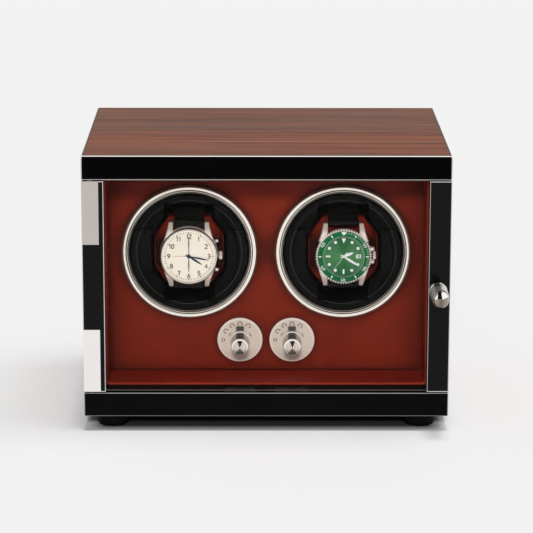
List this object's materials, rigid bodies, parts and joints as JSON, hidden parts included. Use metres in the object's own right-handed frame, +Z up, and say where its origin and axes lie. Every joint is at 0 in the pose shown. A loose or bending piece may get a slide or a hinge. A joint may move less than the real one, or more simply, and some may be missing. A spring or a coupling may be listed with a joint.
{
  "type": "watch winder box",
  "caption": "Lacquered watch winder cabinet with a glass door on pivot hinges, motor-driven rotors behind chrome bezels, removable pillows and selector knobs.",
  "frame": {"origin": "centre of the part's bounding box in plan, on the surface that the feet stand on", "axes": "+X to the right seen from the door, +Y from the door to the back, +Z up"},
  "size_m": [0.26, 0.2344, 0.2005],
  "materials": {
    "lacquer": "piano-black lacquer on fibreboard",
    "veneer": "satin rosewood veneer",
    "leather": "smooth red leather",
    "chrome": "polished chrome",
    "steel": "brushed",
    "black_plastic": "glossy black",
    "matte_black": "matte black",
    "rubber": "matte",
    "glass": "clear",
    "board": "coated circuit board",
    "brass": "plain",
    "strap_leather": "black leather",
    "cream_dial": "satin cream",
    "green_dial": "sunburst green"
  },
  "bodies": {
    "cabinet": {"base_slab": "lacquer", "top_slab": "lacquer", "top_veneer": "veneer", "side_panel_left": "veneer", "side_panel_right": "veneer", "back_panel": "lacquer", "back_screws": "steel", "feet": "rubber", "foot_screws": "steel", "floor_liner": "leather", "ceiling_liner": "leather", "side_liners": "leather", "fascia_panel": "leather", "bezel_left": "chrome", "bezel_right": "chrome", "selector_plate_left": "steel", "selector_plate_right": "steel", "drive_plate": "matte_black", "drive_spacers": "steel", "spindle_bearings": "brass", "motor_left": "steel", "motor_right": "steel", "drive_belts": "rubber", "switch_left": "matte_black", "switch_right": "matte_black", "control_board": "board", "board_standoffs": "steel", "power_inlet": "matte_black", "rocker_frame": "black_plastic", "catch_magnet": "steel", "hinge_bushings": "brass"},
    "door": {"door_stile_left": "lacquer", "door_stile_right": "lacquer", "door_glass": "glass", "hinge_block_upper": "chrome", "hinge_block_lower": "chrome", "hinge_pins": "steel", "door_screws": "steel", "door_knob": "chrome", "strike_plate": "steel"},
    "left_rotor": {"rotor_cup_left": "black_plastic", "cup_lining_left": "leather", "rotor_pulley_left": "matte_black"},
    "right_rotor": {"rotor_cup_right": "black_plastic", "cup_lining_right": "leather", "rotor_pulley_right": "matte_black"},
    "left_pillow": {"pillow_left": "leather", "watch_strap_left": "strap_leather", "watch_case_left": "steel", "watch_dial_left": "cream_dial"},
    "right_pillow": {"pillow_right": "leather", "watch_strap_right": "strap_leather", "watch_case_right": "steel", "watch_dial_right": "green_dial"},
    "left_drive": {"motor_pulley_left": "matte_black"},
    "right_drive": {"motor_pulley_right": "matte_black"},
    "left_knob": {"selector_knob_left": "steel"},
    "right_knob": {"selector_knob_right": "steel"},
    "rocker_key": {"rocker": "black_plastic"}
  },
  "joints": [
    {"name": "door_hinge", "type": "hinge", "parent": "cabinet", "child": "door", "pos_m": [-0.124, -0.07917, 0.10575], "axis": [0, 0, -1], "range_deg": [0, 110]},
    {"name": "left_rotor_spin", "type": "hinge", "parent": "cabinet", "child": "left_rotor", "pos_m": [-0.05577, -0.03367, 0.1196], "axis": [0, 1, 0], "continuous": true},
    {"name": "left_pillow_pull", "type": "slide", "parent": "left_rotor", "child": "left_pillow", "axis": [0, -1, 0], "range_m": [0, 0.02]},
    {"name": "left_motor_spin", "type": "hinge", "parent": "cabinet", "child": "left_drive", "pos_m": [-0.018, 0.02983, 0.061], "axis": [0, 1, 0], "continuous": true},
    {"name": "left_selector_turn", "type": "hinge", "parent": "cabinet", "child": "left_knob", "pos_m": [-0.019, -0.03318, 0.0535], "axis": [0, -1, 0], "range_deg": [-30, 90]},
    {"name": "right_rotor_spin", "type": "hinge", "parent": "cabinet", "child": "right_rotor", "pos_m": [0.05577, -0.03367, 0.1196], "axis": [0, 1, 0], "continuous": true},
    {"name": "right_pillow_pull", "type": "slide", "parent": "right_rotor", "child": "right_pillow", "axis": [0, -1, 0], "range_m": [0, 0.02]},
    {"name": "right_motor_spin", "type": "hinge", "parent": "cabinet", "child": "right_drive", "pos_m": [0.018, 0.02983, 0.061], "axis": [0, 1, 0], "continuous": true},
    {"name": "right_selector_turn", "type": "hinge", "parent": "cabinet", "child": "right_knob", "pos_m": [0.019, -0.03318, 0.0535], "axis": [0, -1, 0], "range_deg": [-30, 90]},
    {"name": "rocker_tip", "type": "hinge", "parent": "cabinet", "child": "rocker_key", "pos_m": [0.022, 0.11332, 0.053], "axis": [-1, 0, 0], "range_deg": [0, 16]}
  ],
  "couplings": [
    {"joint": "left_motor_spin", "follows": "left_rotor_spin", "ratio": 5},
    {"joint": "right_motor_spin", "follows": "right_rotor_spin", "ratio": 5}
  ]
}
